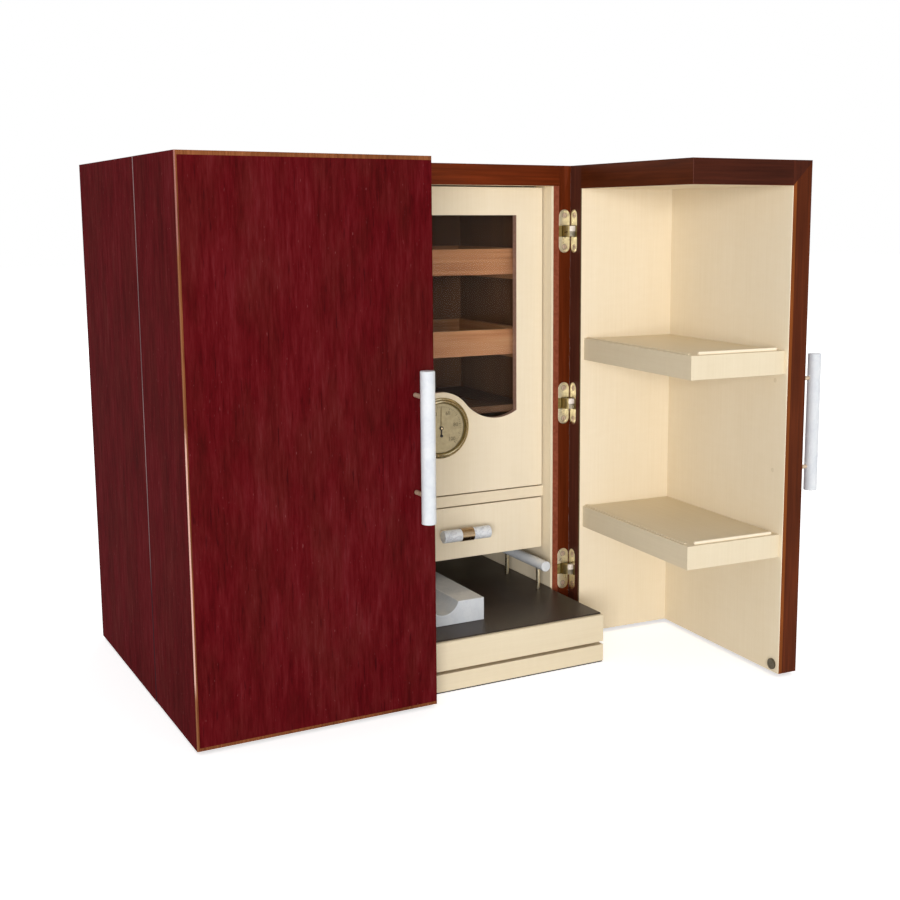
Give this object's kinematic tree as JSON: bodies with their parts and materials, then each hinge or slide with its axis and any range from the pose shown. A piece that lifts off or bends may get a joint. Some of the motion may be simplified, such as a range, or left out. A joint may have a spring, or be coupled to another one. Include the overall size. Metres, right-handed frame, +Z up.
{
  "type": "bar cabinet",
  "caption": "Counter-top bar cabinet with two box doors that hold glass shelves, a glass-doored cigar humidor, a drawer, a bottle space and a leather-topped base.",
  "frame": {"origin": "on the surface that the cabinet stands on, midway between the sides, under the front face of the carcass where the doors hinge", "axes": "+X to the right as seen from the front, +Y to the back, +Z up"},
  "size_m": [0.6678, 0.5034, 0.553],
  "materials": {
    "purpleheart": "clear gloss lacquer over dark red vertical-grain veneer",
    "cream_veneer": "satin lacquer over pale sycamore veneer",
    "runner_wood": "bare",
    "cedar": "bare, fine sawn",
    "black_plastic": "fine texture",
    "felt": "dark felt",
    "reveal_wood": "plain, in shadow",
    "leather": "dark brown-black, fine grain, satin",
    "marble": "polished white marble with soft grey veins",
    "brass": "polished",
    "strike": "plain",
    "magnet": "dark grey",
    "pane": "clear",
    "dial": "bronze-gold printed dial",
    "needle": "black"
  },
  "bodies": {
    "cabinet": {"carcass_side_left": "purpleheart", "carcass_side_right": "purpleheart", "carcass_top": "purpleheart", "carcass_back": "purpleheart", "lining_left": "cream_veneer", "lining_right": "cream_veneer", "lining_back": "cream_veneer", "divider": "cream_veneer", "mid_board": "cream_veneer", "drawer_deck": "cream_veneer", "wooden_runners": "runner_wood", "cedar_lining": "cedar", "cedar_floor": "cedar", "cedar_tray_lower": "cedar", "cedar_tray_upper": "cedar", "humidifier_case": "black_plastic", "base_board": "cream_veneer", "base_felt": "felt", "reveal_strips": "reveal_wood", "tray_board": "cream_veneer", "tray_leather": "leather", "gallery_rails": "marble", "gallery_posts": "brass", "ashtray": "marble", "carcass_hinge_plates": "brass", "carcass_hinge_screws": "brass", "catch_strikes": "strike"},
    "left_door": {"left_door_front": "purpleheart", "left_door_side": "purpleheart", "left_door_top": "purpleheart", "left_door_shelves": "cream_veneer", "left_shelf_lips": "cream_veneer", "left_handle_rod": "marble", "left_handle_posts": "brass", "left_hinge_plates": "brass", "left_hinge_screws": "brass", "left_magnet": "magnet"},
    "right_door": {"right_door_front": "purpleheart", "right_door_side": "purpleheart", "right_door_top": "purpleheart", "right_door_shelves": "cream_veneer", "right_shelf_lips": "cream_veneer", "right_handle_rod": "marble", "right_handle_posts": "brass", "right_hinge_plates": "brass", "right_hinge_screws": "brass", "right_magnet": "magnet"},
    "left_links": {"left_hinge_links": "brass"},
    "right_links": {"right_hinge_links": "brass"},
    "humidor_door": {"humidor_frame": "cream_veneer", "humidor_glass": "pane", "humidor_pivots": "brass", "humidor_knob": "brass", "hygrometer_case": "brass", "hygrometer_dial": "dial"},
    "needle": {"hygrometer_needle": "needle"},
    "drawer": {"drawer_front": "cream_veneer", "drawer_box": "cedar", "drawer_handle_rod": "marble", "drawer_handle_brass": "brass"}
  },
  "joints": [
    {"name": "left_door_hinge", "type": "hinge", "parent": "cabinet", "child": "left_door", "pos_m": [-0.248, -0.0005, 0.275], "axis": [0, 0, -1], "range_deg": [0, 105]},
    {"name": "right_door_hinge", "type": "hinge", "parent": "cabinet", "child": "right_door", "pos_m": [0.248, -0.0005, 0.275], "axis": [0, 0, 1], "range_deg": [-87.3, 17.7]},
    {"name": "left_link_pivot", "type": "hinge", "parent": "cabinet", "child": "left_links", "pos_m": [-0.248, -0.0005, 0.275], "axis": [0, 0, -1], "range_deg": [0, 52.5]},
    {"name": "right_link_pivot", "type": "hinge", "parent": "cabinet", "child": "right_links", "pos_m": [0.248, -0.0005, 0.275], "axis": [0, 0, 1], "range_deg": [-43.65, 8.85]},
    {"name": "humidor_door_pivot", "type": "hinge", "parent": "cabinet", "child": "humidor_door", "pos_m": [0.2185, 0.0255, 0.35], "axis": [0, 0, 1], "range_deg": [0, 90]},
    {"name": "needle_arbor", "type": "hinge", "parent": "humidor_door", "child": "needle", "pos_m": [0.0905, 0.02, 0.2575], "axis": [0, 1, 0], "range_deg": [-135, 135]},
    {"name": "drawer_slide", "type": "slide", "parent": "cabinet", "child": "drawer", "axis": [0, -1, 0], "range_m": [0, 0.13]}
  ],
  "couplings": [
    {"joint": "left_link_pivot", "follows": "left_door_hinge", "ratio": 0.5},
    {"joint": "right_link_pivot", "follows": "right_door_hinge", "ratio": 0.5}
  ]
}
